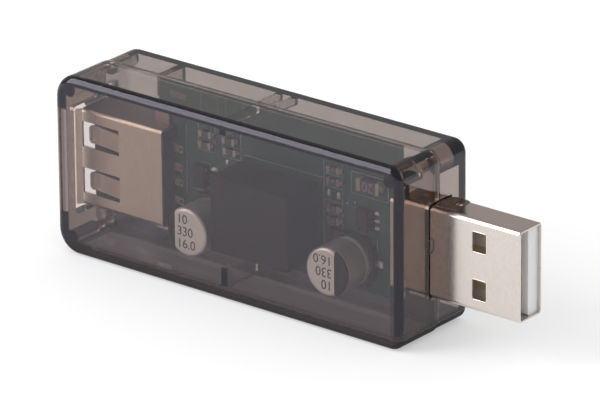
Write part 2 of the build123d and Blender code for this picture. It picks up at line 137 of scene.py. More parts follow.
def mounds(name, blobs, finish, way_up="front"):
    """Solder mounds in one mesh. A blob is a row p, q, half width, half length, height and seat.

    p and q are x and z on the board's front and rear faces, and x and y on a face that looks up. Each mound
    is a grid over a turn and over the way from rim to top. Its outline is a superellipse: the cosine and sine
    of the turn are raised to a power. It shrinks with the cosine of the way and rises with its sine.
    """
    def outline(wave):
        return np.sign(wave) * np.abs(wave) ** MOUND_POWER

    def with_ends(rings, foot, top):
        return np.concatenate([rings.reshape(len(blobs), -1), foot[:, 0], top[:, 0]], 1)

    middle_p, middle_q, half_p, half_q, height, seat = np.asarray(blobs, float).T[:, :, None, None]
    turn = full_turn(MOUND_TURNS)
    way = np.linspace(0, np.pi / 2, MOUND_STEPS + 1)[:-1, None]
    p = middle_p + half_p * np.cos(way) * outline(np.cos(turn))
    q = middle_q + half_q * np.cos(way) * outline(np.sin(turn))
    rise = with_ends(height * np.sin(way) + 0 * p, 0 * height, height)
    p = with_ends(p, middle_p, middle_p)
    q = with_ends(q, middle_q, middle_q)
    seat = seat[:, 0]
    places = {"front": (p, seat - rise, q), "rear": (p, seat + rise, q), "up": (p, q, seat + rise)}
    points = np.stack(places[way_up], -1)
    pattern = capped_rings(MOUND_STEPS, MOUND_TURNS)
    if way_up == "rear":
        pattern = [face[::-1] for face in pattern]
    faces = [face + start for start in np.arange(len(blobs)) * points.shape[1] for face in pattern]
    new_piece(name, points.reshape(-1, 3), faces, finish, smooth=True)


def turned_body(name, centre, profile, finish, turns=96):
    """A closed body of revolution about the Y axis through centre (x, z).

    profile holds rows of radius and y, from the middle of its foot out, along the side and back to the middle
    of its top, which looks towards -Y. A ring's point is at x plus the radius times the cosine of its turn,
    and at z plus the radius times the sine.
    """
    profile = np.asarray(profile, float)
    turn = full_turn(turns)
    radius, y = profile[1:-1].T[:, :, None]
    x = centre[0] + radius * np.cos(turn)
    z = centre[1] + radius * np.sin(turn)
    rings = np.stack([x, y + 0 * x, z], -1).reshape(-1, 3)
    ends = [[centre[0], end_y, centre[1]] for end_y in profile[[0, -1], 1]]
    points = np.concatenate([rings, ends])
    return new_piece(name, points, capped_rings(len(radius), turns), finish, smooth=True)


def weld(mesh):
    """Joins a mesh's doubled points and turns its faces outwards."""
    edited = bmesh.new()
    edited.from_mesh(mesh)
    bmesh.ops.remove_doubles(edited, verts=edited.verts, dist=WELD_DISTANCE * MM)
    bmesh.ops.recalc_face_normals(edited, faces=edited.faces)
    edited.to_mesh(mesh)
    edited.free()


def printed_number(name, text, centre, y, size, finish, turned=False, left_aligned=False):
    """A plain number on a face that looks towards -Y. centre is x and z, and turned puts it upside down."""
    curve = bpy.data.curves.new(name, "FONT")
    curve.body = text
    curve.size = size * MM
    curve.extrude = NUMBER_RISE * MM
    curve.align_x = "LEFT" if left_aligned else "CENTER"
    curve.align_y = "CENTER"
    written = bpy.data.objects.new(name, curve)
    mesh = bpy.data.meshes.new_from_object(written)
    bpy.data.objects.remove(written)
    flat = np.zeros(len(mesh.vertices) * 3)
    mesh.vertices.foreach_get("co", flat)
    right, up, out = flat.reshape(-1, 3).T
    sense = -1 if turned else 1
    points = np.column_stack([centre[0] * MM + sense * right, y * MM - out, centre[1] * MM + sense * up])
    mesh.vertices.foreach_set("co", points.ravel())
    weld(mesh)
    add_piece(name, mesh, finish)


# Shader nodes
def new_material(name):
    """A new material with its tree, its Principled shader and its output."""
    made = bpy.data.materials.new(name)
    made.use_nodes = True
    tree = made.node_tree
    return made, tree, tree.nodes["Principled BSDF"], tree.nodes["Material Output"]


def set_sockets(node, values):
    """Sets a node's unlinked inputs by their names."""
    for name, value in values.items():
        node.inputs[name].default_value = value


def add(tree, kind, links=(), **values):
    """A node of that kind, with its properties or socket values set and its inputs linked."""
    node = tree.nodes.new(kind)
    for name, value in values.items():
        if hasattr(node, name):
            setattr(node, name, value)
        else:
            set_sockets(node, {name.replace("_", " "): value})
    for socket, source in links:
        tree.links.new(source, node.inputs[socket])
    return node


def noise(tree, scale, stretch=(1, 1, 1)):
    """Noise on the object's own coordinates, with scale in features a metre. stretch scales each axis too."""
    place = add(tree, "ShaderNodeTexCoord")
    mapping = add(tree, "ShaderNodeMapping", [("Vector", place.outputs["Object"])], Scale=stretch)
    grain = add(tree, "ShaderNodeTexNoise", [("Vector", mapping.outputs[0])], Scale=scale, Detail=3.0)
    return grain.outputs["Fac"]


def ramp(tree, source, stops):
    """A colour along a value, with stops of (place, colour)."""
    node = add(tree, "ShaderNodeValToRGB", [("Fac", source)])
    for element, (place, colour) in zip(node.color_ramp.elements, stops):
        element.position = place
        element.color = (*colour, 1)
    return node.outputs[0]


def bump(tree, principled, source, strength, relief):
    """Raises the surface by the source's value times the relief."""
    node = add(tree, "ShaderNodeBump", [("Height", source)], Strength=strength, Distance=relief * MM)
    tree.links.new(node.outputs[0], principled.inputs["Normal"])


def axis_share(tree, axis, start, end):
    """0 before start and 1 after end along one of the object's axes."""
    place = add(tree, "ShaderNodeTexCoord")
    split = add(tree, "ShaderNodeSeparateXYZ", [(0, place.outputs["Object"])])
    share = add(tree, "ShaderNodeMapRange", [("Value", split.outputs[axis])],
                From_Min=start * MM, From_Max=end * MM)
    return share.outputs[0]


def combined(tree, operation, *values):
    """Several values put together by one operation, two at a time."""
    result = values[0]
    for value in values[1:]:
        result = add(tree, "ShaderNodeMath", [(0, result), (1, value)], operation=operation).outputs[0]
    return result


def band_share(tree, axis, low, high, fade):
    """1 between two places along an axis, with a fade inside each."""
    return combined(tree, "MINIMUM", axis_share(tree, axis, low, low + fade),
                    axis_share(tree, axis, high, high - fade))


def scaled(tree, value, factor):
    """A value times a plain number."""
    node = add(tree, "ShaderNodeMath", [(0, value)], operation="MULTIPLY")
    node.inputs[1].default_value = factor
    return node.outputs[0]


def blend_colour(tree, share, below, above):
    """A colour between two, each a colour or an output. A Mix node's colour sockets are 6 and 7."""
    node = add(tree, "ShaderNodeMix", [(0, share)], data_type="RGBA")
    for socket, colour in ((node.inputs[6], below), (node.inputs[7], above)):
        if isinstance(colour, tuple):
            socket.default_value = (*colour, 1)
        else:
            tree.links.new(colour, socket)
    return node.outputs[2]


# Finishes
def mottled(name, dark, light, scale, roughness, spread=0.1, metallic=0.0, relief=0.01, stretch=(1, 1, 1)):
    """A plain finish whose colour and roughness wander a little from place to place, with a slight relief."""
    made, tree, principled, _ = new_material(name)
    grain = noise(tree, scale, stretch)
    low = (roughness - spread / 2,) * 3
    high = (roughness + spread / 2,) * 3
    tree.links.new(ramp(tree, grain, [(0.3, dark), (0.7, light)]), principled.inputs["Base Color"])
    tree.links.new(ramp(tree, grain, [(0.3, low), (0.7, high)]), principled.inputs["Roughness"])
    set_sockets(principled, {"Metallic": metallic})
    if relief:
        bump(tree, principled, grain, 0.5, relief)
    return made


def recoloured(made, share, colour):
    """Turns a finish's colour into another one by a share, which is an output in the finish's own tree."""
    tree = made.node_tree
    base = tree.nodes["Principled BSDF"].inputs["Base Color"]
    tree.links.new(blend_colour(tree, share, base.links[0].from_socket, colour), base)
    return made


def painted_light_past(made, axis, start, end, colour):
    """Turns a finish's colour into another one past a place along an axis, to paint shade or a highlight
    there.
    """
    return recoloured(made, axis_share(made.node_tree, axis, start, end), colour)


END_SHADE_REACH = 1.55                     # how far in the painted shade of the case's end walls reaches
BOTTOM_SHADE_REACH = 1.5                   # how high the painted shade of its bottom reaches
SHADE_FADE = 0.1
SEAM = 0.55                         # y of the seam between the two shells
SEAM_REACH = 0.09                   # half the width of the shaded band along it
SEAM_SHADE = 0.6
LOW_RIM = (0.03, 1.46)              # lower and upper end of the rim round the bottom, painted dark as shadow
LOW_RIM_SHADE = 0.8
OPENING_GAP = 0.14                  # from the plug to the far side of its opening's shaded walls
OPENING_RIM = 0.4                   # over the plug, how far in from the case's end they are shaded
PLUG_SHOULDER = 0.4                 # how far under the plug's top that part of the opening starts
MASK_FADE = 0.02


def opening_shade_share(tree):
    """1 on the walls of the plug's opening, which are painted dark as shade. Over the plug they are painted
    only near the case's end.
    """
    (_, case_right), _, _ = node_span("front_shell")
    _, (plug_front, plug_back), (plug_low, plug_top) = node_span("plug_shell")
    rim_start = case_right - OPENING_RIM
    shoulder = plug_top - PLUG_SHOULDER
    near_plug = combined(
        tree, "MAXIMUM",
        axis_share(tree, Z, shoulder, shoulder - SHADE_FADE),
        axis_share(tree, X, rim_start, rim_start + SHADE_FADE / 2),
    )
    return combined(
        tree, "MINIMUM",
        axis_share(tree, X, case_right - END_SHADE_REACH - SHADE_FADE, case_right - END_SHADE_REACH),
        near_plug,
        band_share(tree, Y, plug_front - OPENING_GAP, plug_back + OPENING_GAP, MASK_FADE),
        band_share(tree, Z, plug_low - OPENING_GAP, plug_top + OPENING_GAP, MASK_FADE),
    )


def smoked_plastic(name, socket_end_shade, plug_end_shade, bottom_shade):
    """Clear smoked polycarbonate: it takes light away by the millimetre, so thick rims look dark.

    The end walls and the bottom are tinted darker as painted shade. The walls of the plug's opening are
    painted dark and matt as shade, the seam's faces partly so, and the outer rim round the bottom partly so
    as painted shadow.
    """
    made, tree, principled, output = new_material(name)
    (case_left, case_right), _, (case_low, _) = node_span("front_shell")
    shade_colour = (1, 1, 1)
    # Painted shade: darker colours on the end walls and the bottom.
    for axis, reach, inwards, colour in (
        (X, case_left + END_SHADE_REACH, 1, socket_end_shade),
        (Z, case_low + BOTTOM_SHADE_REACH, 1, bottom_shade),
        (X, case_right - END_SHADE_REACH, -1, plug_end_shade),
    ):
        outer = axis_share(tree, axis, reach + inwards * SHADE_FADE, reach)
        shade_colour = blend_colour(tree, outer, shade_colour, colour)
    tree.links.new(shade_colour, principled.inputs["Base Color"])
    set_sockets(principled, {"Transmission Weight": 1.0, "IOR": 1.58, "Specular Tint": (0.82, 0.79, 0.92, 1)})
    grain = noise(tree, 900)
    rough = ramp(tree, grain, [(0.3, (0.015,) * 3), (0.75, (0.05,) * 3)])
    tree.links.new(rough, principled.inputs["Roughness"])
    bump(tree, principled, grain, 0.3, 0.01)
    rim_low, rim_high = case_low + np.array(LOW_RIM)
    seam = band_share(tree, Y, SEAM - SEAM_REACH, SEAM + SEAM_REACH, MASK_FADE)
    # Painted shadow along the case's bottom rim.
    low_rim = band_share(tree, Z, rim_low, rim_high, SHADE_FADE / 2)
    # Painted shade: the opening's walls and the bottom rim mix towards a dark matt shader, the seam's faces
    # partly so.
    shade = combined(tree, "MAXIMUM", opening_shade_share(tree), scaled(tree, seam, SEAM_SHADE),
                     scaled(tree, low_rim, LOW_RIM_SHADE))
    dark = add(tree, "ShaderNodeBsdfDiffuse", Color=(0.046, 0.041, 0.042, 1))
    shader = add(tree, "ShaderNodeMixShader", [(0, shade), (1, principled.outputs[0]), (2, dark.outputs[0])])
    tree.links.new(shader.outputs[0], output.inputs["Surface"])
    smoke = add(tree, "ShaderNodeVolumeAbsorption", Color=(0.21, 0.07, 0.0, 1), Density=440.0)
    tree.links.new(smoke.outputs[0], output.inputs["Volume"])
    return made


# Where a painted shade or highlight fades in, from and to, as distances from the side or end that it belongs
# to
PLUG_TOP_FADE = (0.25, 0.05)
SOCKET_TOP_FADE = (0.2, 0.05)
SOCKET_LIP_FADE = (0.8, 0.7)
TONGUE_FACE_FADE = (0.3, 0.1)
TONGUE_DEPTH_FADE = (3.2, 4.2)


def plug_nickel():
    """Brushed sheet metal, with its upper side painted darker and browner as shade."""
    _, _, (_, top) = node_span("plug_shell")
    nickel = mottled("brushed_nickel", (0.64, 0.585, 0.54), (0.71, 0.645, 0.595), 5000, 0.19, spread=0.04,
                     metallic=1.0, relief=0.0, stretch=(1, 1, 0.4))
    # Painted shade: the plug's upper side gets a darker, browner colour.
    return painted_light_past(nickel, Z, *(top - np.array(PLUG_TOP_FADE)), (0.55, 0.445, 0.40))


def plug_white():
    """White plastic that lets some light in. The tongue's face is painted tan as shade deep in the mouth."""
    white = mottled("white_insulator", (0.90, 0.89, 0.88), (0.95, 0.94, 0.93), 500, 0.4)
    tree = white.node_tree
    _, (contact_face, _), _ = node_span("plug_contact_1")
    (_, tongue_end), _, _ = node_span("plug_insulator")
    facing = axis_share(tree, Y, *(contact_face + np.array(TONGUE_FACE_FADE)))
    inside = axis_share(tree, X, *(tongue_end - np.array(TONGUE_DEPTH_FADE)))
    # Painted shade: the tongue's face turns tan deep inside the mouth.
    recoloured(white, combined(tree, "MINIMUM", facing, inside), (0.78, 0.68, 0.60))
    set_sockets(tree.nodes["Principled BSDF"], {
        "Subsurface Weight": 0.35,
        "Subsurface Radius": (1.5 * MM, 1.4 * MM, 1.3 * MM),
        "Subsurface Scale": 1.0,
    })
    return white


def socket_nickel():
    """Drawn sheet metal, its upper side painted dark as shade and its lips painted pale as a highlight."""
    (mouth, _), _, (_, tab_top) = node_span("socket_shell")
    top = tab_top - SOCKET_TAB_REACH
    nickel = mottled("drawn_nickel", (0.65, 0.545, 0.45), (0.73, 0.62, 0.52), 3000, 0.36, spread=0.08,
                     metallic=1.0, relief=0.0, stretch=(1, 1, 0.2))
    # Painted shade on the upper side, then a painted highlight at the lips.
    painted_light_past(nickel, Z, *(top - np.array(SOCKET_TOP_FADE)), (0.30, 0.25, 0.22))
    return painted_light_past(nickel, X, *(mouth + np.array(SOCKET_LIP_FADE)), (0.96, 0.84, 0.72))


def dress(finish, *names):
    """Puts one finish on CAD nodes."""
    for name in names:
        for slot in nodes[name].material_slots:
            slot.material = finish


def dress_case_and_shells():
    # The colours given for the ends and the bottom are painted shade.
    front = smoked_plastic("smoked_front", socket_end_shade=(0.44, 0.38, 0.36),
                           plug_end_shade=(0.50, 0.43, 0.38), bottom_shade=(0.16, 0.145, 0.165))
    rear = smoked_plastic("smoked_rear", socket_end_shade=(0.82, 0.79, 0.78),
                          plug_end_shade=(0.90, 0.87, 0.86), bottom_shade=(0.30, 0.27, 0.29))
    dress(front, "front_shell")
    dress(rear, "rear_shell")
    dress(plug_nickel(), "plug_shell")
    dress(socket_nickel(), "socket_shell")
    dress(plug_white(), "plug_insulator")
    dress(mottled("dark_insulator", (0.02, 0.018, 0.02), (0.03, 0.028, 0.03), 700, 0.45), "socket_insulator")
    contacts = [name for name in nodes if "_contact_" in name]
    dress(mottled("gold_plate", (0.78, 0.65, 0.45), (0.86, 0.73, 0.53), 600, 0.32, metallic=0.5), *contacts)


def dress_board_and_parts():
    wires = [name for name in nodes if "_leg_" in name or "_lead_" in name]
    ceramics = [name for name in nodes if "resistor" in name or name.startswith("rear_capacitor")]
    dress(mottled("solder_mask", (0.006, 0.085, 0.058), (0.012, 0.125, 0.085), 400, 0.35), "circuit_board")
    dress(mottled("potting_shell", (0.012, 0.012, 0.015), (0.018, 0.018, 0.022), 300, 0.6, spread=0.02,
                  relief=0.0), "converter")
    dress(mottled("chip_epoxy", (0.015, 0.014, 0.016), (0.03, 0.028, 0.03), 2500, 0.55),
          "right_chip", "left_chip", "isolator_chip")
    dress(mottled("base_resin", (0.012, 0.012, 0.014), (0.02, 0.02, 0.022), 1500, 0.5),
          "left_capacitor_base", "right_capacitor_base")
    dress(mottled("tinned", (0.70, 0.68, 0.64), (0.82, 0.80, 0.76), 800, 0.3, metallic=1.0), *wires)
    dress(mottled("fired_ceramic", (0.10, 0.085, 0.08), (0.16, 0.14, 0.13), 2000, 0.5), "fuse", *ceramics)


dress_case_and_shells()
dress_board_and_parts()


# Print on the board and numbers on its parts
PRINT_RISE = 0.02
LINE_WIDTH = 0.14
COLUMN_NUMBERS = ("10", "47", "22", "33")
FUSE_NUMBER = "20"
NUMBER_SHARE = 0.8                  # size of a number, as a share of its part's height
FUSE_NUMBER_SHARE = 1.15


def printed_line(start, end):
    """A straight printed line between two places on the board, along X or along Z, as a thin box.

    A place is the distance from the board's plug end and the height over its lower edge.
    """
    (x0, z0), (x1, z1) = on_board(*start), on_board(*end)
    half = LINE_WIDTH / 2
    front = BOARD_FACE - HAIR
    return [min(x0, x1) - half, max(x0, x1) + half, front - PRINT_RISE, front,
            min(z0, z1) - half, max(z0, z1) + half]


def open_frame(far, near, low, high):
    """Three printed lines round a part: its two sides and its lower end."""
    return [printed_line((far, low), (far, high)), printed_line((near, low), (near, high)),
            printed_line((far, low), (near, low))]


def make_board_print():
    lines = [
        printed_line((23.2, 13.5), (10.7, 13.5)),       # round the converter
        printed_line((10.7, 4.8), (10.7, 15.7)),
        printed_line((7.8, 6.9), (7.8, 15.7)),          # the column's outer side
        printed_line((5.0, 11.0), (3.6, 11.0)),         # by the right chip
        printed_line((2.4, 5.7), (2.4, 7.7)),           # by the right capacitor
        printed_line((32.55, 6.1), (32.55, 15.3)),      # by the socket's tails
        printed_line((30.1, 10.95), (28.7, 10.95)),     # by the left chip
        printed_line((31.6, 7.1), (29.0, 7.1)),
        printed_line((6.4, 15.45), (0.7, 15.45)),       # over the fuse
    ]
    lines += [printed_line((10.7, height), (7.8, height)) for height in (14.2, 12.6, 10.75, 9.15, 7.55)]
    lines += open_frame(6.4, 0.7, 12.6, 15.45)
    lines += open_frame(30.6, 27.95, 12.6, 18.7)
    lines += open_frame(26.7, 23.8, 12.5, 18.7)
    plates("board_print", lines, mottled("board_print", (0.26, 0.27, 0.28), (0.36, 0.37, 0.38), 3000, 0.6))


def make_part_numbers():
    pale = mottled("part_print", (0.34, 0.33, 0.42), (0.44, 0.43, 0.52), 3000, 0.6)
    rows = [(f"column_resistor_{n}", text, NUMBER_SHARE, False) for n, text in enumerate(COLUMN_NUMBERS, 1)]
    for name, text, share, turned in [*rows, ("fuse", FUSE_NUMBER, FUSE_NUMBER_SHARE, True)]:
        (x0, x1), (y0, _), (z0, z1) = node_span(name)
        printed_number(f"{name}_number", text, ((x0 + x1) / 2, (z0 + z1) / 2), y0 - HAIR,
                       share * (z1 - z0), pale, turned=turned)


# Tinned ends and solder
RESISTORS = [f"{group}_resistor_{n}" for group in ("column", "left") for n in range(1, 5)]
END_CAP_SHARES = {"fuse": 0.16, **dict.fromkeys(RESISTORS, 0.22)}
END_CAP_RISE = 0.012
END_MOUND = (0.3, 0.44, 0.8)        # half width, and half length and height as shares of the part's
MOUND_OFFSET = 0.05                 # from a part's end or a chip's side to the mound's middle
SOCKET_TAIL_INSET = 0.3
PLUG_TAIL_INSET = 0.1
CONVERTER_LEG_RISE = 0.15
CHIP_FEET = {"right_chip": (3, 0.97), "left_chip": (3, 0.99), "isolator_chip": (8, 1.27)}
# Half width, half length and height of the solder mounds
VIA_MOUND = (0.13, 0.13, 0.1)
CHIP_FOOT_MOUND = (0.45, 0.25, 0.24)
CAPACITOR_LEAD_MOUND = (0.55, 0.5, 0.3)
SOCKET_TAIL_MOUND = (0.5, 0.55, 0.22)
CONVERTER_LEG_MOUND = (0.8, 0.8, 0.7)
PLUG_TAIL_MOUND = (0.6, 0.62, 0.45)
PAD_MOUND_HEIGHT = 0.3
# Board places and half sizes of the pads with solder alone, and places of the vias and the bare pad
SOLDERED_PADS = [(9.84, 11.75, 0.2, 0.5), (8.34, 11.65, 0.26, 0.5), (25.92, 11.85, 0.3, 0.4),
                 (27.91, 10.46, 0.42, 0.26)]
VIAS = [(7.03, 11.04), (5.81, 11.43), (5.82, 10.81), (5.82, 9.86)]
BARE_PAD_PLACE = (34.3, 17.55)
BARE_PAD = (1.3, 0.45, 0.03)        # half length, half height and thickness


def make_end_caps():
    """Tinned ends of the small parts, a hair proud of them, and the solder that holds each end."""
    tin = mottled("tinned_end", (0.40, 0.35, 0.30), (0.58, 0.52, 0.46), 2500, 0.4, spread=0.2, metallic=0.8)
    half_width, length_share, height_share = END_MOUND
    caps, solder = [], []
    for name, share in END_CAP_SHARES.items():
        (x0, x1), (y0, y1), (z0, z1) = node_span(name)
        reach = share * (x1 - x0)
        for near, far in ((x0 - END_CAP_RISE, x0 + reach), (x1 - reach, x1 + END_CAP_RISE)):
            caps.append([near, far, y0 - END_CAP_RISE, y1 - HAIR, z0 - END_CAP_RISE, z1 + END_CAP_RISE])
        for x in (x0 - MOUND_OFFSET, x1 + MOUND_OFFSET):
            solder.append([x, (z0 + z1) / 2, half_width, length_share * (z1 - z0),
                           height_share * (y1 - y0), BOARD_FACE])
    plates("part_end_caps", caps, tin)
    mounds("part_solder", solder, tin)


def chip_feet(name, side, seat):
    """Solder at each foot along one side of a chip, -1 for its low x and 1 for its high x."""
    span, _, (z0, z1) = node_span(name)
    count, pitch = CHIP_FEET[name]
    x = span[(side + 1) // 2] - side * MOUND_OFFSET
    return [[x, (z0 + z1) / 2 + (index - (count - 1) / 2) * pitch, *CHIP_FOOT_MOUND, seat]
            for index in range(count)]


def make_front_solder(bright, shaded_tin):
    """Bright solder on pads, vias, leads and the chips' right feet, painted-shade solder on tails and left
    feet.
    """
    shiny = [[*on_board(distance, height), half_x, half_z, PAD_MOUND_HEIGHT, BOARD_FACE]
             for distance, height, half_x, half_z in SOLDERED_PADS]
    shiny += [[*on_board(*place), *VIA_MOUND, BOARD_FACE] for place in VIAS]
    for side in ("left", "right"):
        for end in (0, 1):
            span, _, (z0, z1) = node_span(f"{side}_capacitor_lead_{end + 1}")
            shiny.append([span[end], (z0 + z1) / 2, *CAPACITOR_LEAD_MOUND, BOARD_FACE])
    shaded = []
    for number in range(1, 5):
        (_, x1), _, (z0, z1) = node_span(f"socket_contact_{number}")
        shaded.append([x1 - SOCKET_TAIL_INSET, (z0 + z1) / 2, *SOCKET_TAIL_MOUND, BOARD_FACE])
    for chip in ("right_chip", "left_chip"):
        shiny += chip_feet(chip, 1, BOARD_FACE)
        shaded += chip_feet(chip, -1, BOARD_FACE)
    mounds("front_solder", shiny, bright)
    mounds("tail_solder", shaded, shaded_tin)


def make_rear_solder(finish):
    rear = chip_feet("isolator_chip", -1, BOARD_BACK) + chip_feet("isolator_chip", 1, BOARD_BACK)
    for number in range(1, 5):
        (x0, x1), _, (z0, _) = node_span(f"converter_leg_{number}")
        rear.append([(x0 + x1) / 2, z0 + CONVERTER_LEG_RISE, *CONVERTER_LEG_MOUND, BOARD_BACK])
        (x0, _), _, (z0, z1) = node_span(f"plug_contact_{number}")
        rear.append([x0 + PLUG_TAIL_INSET, (z0 + z1) / 2, *PLUG_TAIL_MOUND, BOARD_BACK])
    mounds("rear_solder", rear, finish, "rear")


def make_solder():
    bright = mottled("bright_solder", (0.84, 0.79, 0.72), (0.94, 0.89, 0.83), 2500, 0.35, metallic=0.6)
    # Painted shade: a darker copy of the solder, for mounds that lie in shade.
    shaded_tin = mottled("shaded_solder", (0.13, 0.11, 0.10), (0.24, 0.21, 0.19), 2500, 0.5, metallic=0.5)
    make_front_solder(bright, shaded_tin)
    make_rear_solder(bright)


def make_bare_pad():
    beige = mottled("bare_laminate", (0.36, 0.30, 0.25), (0.44, 0.38, 0.32), 2000, 0.6)
    x, z = on_board(*BARE_PAD_PLACE)
    half_x, half_z, depth = BARE_PAD
    plates("bare_pad", [[x - half_x, x + half_x, BOARD_FACE - depth, BOARD_FACE - HAIR,
                         z - half_z, z + half_z]], beige)


# Capacitor cans
CAN_CROWN = 0.45
CAN_TOP_STEP = 0.08                 # from the crown's inner edge to the flat top's last ring
GROOVE_HEIGHT = 1.9                 # over the board
GROOVE_HALF_WIDTH = 0.42
GROOVE_DEPTH = 0.14
CAN_NUMBERS = ("10", "330", "16.0")
CAN_NUMBER_SIZE = 1.72
CAN_NUMBER_PITCH = 1.62
CAN_NUMBER_MARGIN = 0.3
CAN_NUMBER_SEAT = 0.014             # from the can's top to the middle of a number's thickness
CAN_EDGE_FADE = 0.04                # of the black part's straight edge
CROWN_FADE = 0.05                   # of its edge at the crown's foot


def can_profile(radius, foot_y, top_y):
    """Radius and y along a can's side: foot, a groove that dips by a cosine, a quarter-round crown, top."""
    across = np.linspace(-1, 1, 13)
    groove_y = BOARD_FACE - GROOVE_HEIGHT
    groove = [(radius - GROOVE_DEPTH * (0.5 + 0.5 * math.cos(math.pi * a)), groove_y - a * GROOVE_HALF_WIDTH)
              for a in across]
    turn = np.linspace(0, np.pi / 2, 10)
    crown = [(radius - CAN_CROWN * (1 - math.cos(t)), top_y + CAN_CROWN * (1 - math.sin(t))) for t in turn]
    inner = radius - CAN_CROWN - CAN_TOP_STEP
    return [(0, foot_y), (radius, foot_y), *groove, *crown, (inner, top_y), (0, top_y)]


def make_can(side, chord, marked):
    """A can whose top is black past a chord on its marked side, with three lines of plain numbers.

    chord is how far the black part's straight edge lies from the can's axis, and marked is -1 or 1 along X.
    """
    name = f"{side}_capacitor_can"
    (x0, x1), (top_y, foot_y), (z0, z1) = node_span(name)
    centre = ((x0 + x1) / 2, (z0 + z1) / 2)
    metal = mottled(f"{side}_can_metal", (0.97, 0.93, 0.90), (1.0, 0.97, 0.94), 1500, 0.45, metallic=0.9,
                    relief=0.002)
    tree = metal.node_tree
    edge = centre[0] + marked * chord
    crown_foot = top_y + CAN_CROWN
    black = combined(tree, "MINIMUM", axis_share(tree, X, edge, edge + marked * CAN_EDGE_FADE),
                     axis_share(tree, Y, crown_foot + CROWN_FADE, crown_foot))
    recoloured(metal, black, (0.02, 0.02, 0.022))
    can = turned_body(f"{side}_can", centre, can_profile((x1 - x0) / 2, foot_y, top_y), metal)
    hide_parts(name)
    ink = mottled(f"{side}_can_ink", (0.03, 0.03, 0.032), (0.05, 0.05, 0.052), 1500, 0.5)
    start_x = edge - marked * CAN_NUMBER_MARGIN
    for line, text in enumerate(CAN_NUMBERS):
        z = centre[1] - marked * (1 - line) * CAN_NUMBER_PITCH
        printed_number(f"{side}_can_number_{line + 1}", text, (start_x, z), top_y - CAN_NUMBER_SEAT,
                       CAN_NUMBER_SIZE, ink, turned=marked > 0, left_aligned=True)


# Rims and marks on the plug, the socket and the case's end
WINDOW = (2.2, 2.65, 0.3)           # length along the plug, width across it and corner radius
WINDOW_FROM_TIP = 5.0
WINDOW_SPACING = 6.2
RIM = 0.055                         # radius of a window's rim
RIM_SINK = 0.6                      # how deep its middle lies in the sheet, as a share of that
LIP_STRIP = 0.32                    # width of the painted highlight on each of the lip's two sides
LIP_STRIP_IN = 0.02                 # its front face behind the lip's
LIP_STRIP_LOW = 0.2                 # from the shell's underside up to the strip
LIP_STRIP_HIGH = 0.6                # from the shell's upper side down to the strip
MARK_MIDDLE = 2.6                   # from the plug's front side back to the middle of its marks
BROWN_PATCH = (1.6, 1.75, 1.9, 0.03)  # from the case's end, half length, half width and height
HIGHLIGHT_SPOT = (2.5, 0.5, 0.28, 0.09)
HIGHLIGHT_SPOT_LIFT = 0.015              # its foot over the plug, in the brown patch
GATE = (0.5, 0.9, 0.075)            # half width and half height of the oval gate mark, and its tube's radius
GATE_DROP = 0.6                     # its middle under the board's middle
GATE_FROM_PLUG = 0.32               # its middle in front of the plug's front side


def make_window_rims():
    """The rounded rims of the plug's four windows, each a thin tube along a rounded rectangle.

    With the turn's cosine and sine, the rectangle's point is its corner centre, picked by their signs, plus
    the corner radius times them. The tube adds its own radius times the cosine of its own turn outwards in
    the same direction, and times the sine across the sheet.
    """
    (_, tip), (front, back), (low, high) = node_span("plug_shell")
    count, sides = 64, 10
    length, width, corner = WINDOW
    turn = full_turn(count)[:, None] + np.pi / count
    tube = full_turn(sides)
    across, up = np.cos(turn), np.sin(turn)
    reach = corner + RIM * np.cos(tube)
    x = tip - WINDOW_FROM_TIP - length / 2 + np.sign(across) * (length / 2 - corner) + across * reach
    z = np.sign(up) * (width / 2 - corner) + up * reach
    loop = closed_tube_faces(count, sides)
    points, faces = [], []
    for rim_y in (front + RIM_SINK * RIM, back - RIM_SINK * RIM):
        for side in (-1, 1):
            middle = (low + high + side * WINDOW_SPACING) / 2
            y = rim_y - RIM * np.sin(tube) + 0 * x
            faces.append(loop + len(points) * count * sides)
            points.append(np.stack([x, y, z + middle], -1).reshape(-1, 3))
    # Painted highlight: the rims are paler than the plug's nickel so that they read as lit edges.
    rim_highlight_nickel = mottled("rim_nickel", (0.86, 0.80, 0.74), (0.92, 0.86, 0.80), 2500, 0.2, spread=0.04,
                       metallic=1.0, relief=0.0)
    new_piece("window_rims", np.concatenate(points), np.concatenate(faces), rim_highlight_nickel, smooth=True)


def make_lip_edge():
    """A painted highlight on the edge of the socket's front lip, a thin strip along its straight part."""
    (mouth, _), (lip, _), (tab_low, tab_top) = node_span("socket_shell")
    # Painted highlight: a pale strip along the lip.
    edge = mottled("lip_highlight", (0.86, 0.74, 0.62), (0.94, 0.82, 0.70), 2500, 0.4, metallic=1.0, relief=0.0)
    plates("socket_lip_edge", [[mouth - LIP_STRIP, mouth - HAIR, lip + LIP_STRIP_IN, lip + LIP_STRIP,
                                tab_low + SOCKET_TAB_REACH + LIP_STRIP_LOW,
                                tab_top - SOCKET_TAB_REACH - LIP_STRIP_HIGH]], edge)


def make_plug_top_marks():
    """A brown patch on the plug's top by the case, and a painted highlight spot in it."""
    _, (plug_front, _), (_, plug_top) = node_span("plug_shell")
    (_, case_end), _, _ = node_span("front_shell")
    patch_finish = mottled("brown_patch_finish", (0.065, 0.042, 0.03), (0.10, 0.066, 0.047), 1800, 0.2, spread=0.06,
                   relief=0.005)
    # Painted highlight: a small bright metal spot on the plug's top.
    highlight_finish = mottled("highlight_spot", (0.8, 0.76, 0.7), (0.9, 0.87, 0.82), 3000, 0.25, metallic=1.0)
    middle_y = plug_front + MARK_MIDDLE
    for name, (from_end, *size), seat, finish in (
        ("brown_patch", BROWN_PATCH, plug_top - HAIR, patch_finish),
        ("highlight_spot", HIGHLIGHT_SPOT, plug_top + HIGHLIGHT_SPOT_LIFT, highlight_finish),
    ):
        mounds(name, [[case_end + from_end, middle_y, *size, seat]], finish, "up")


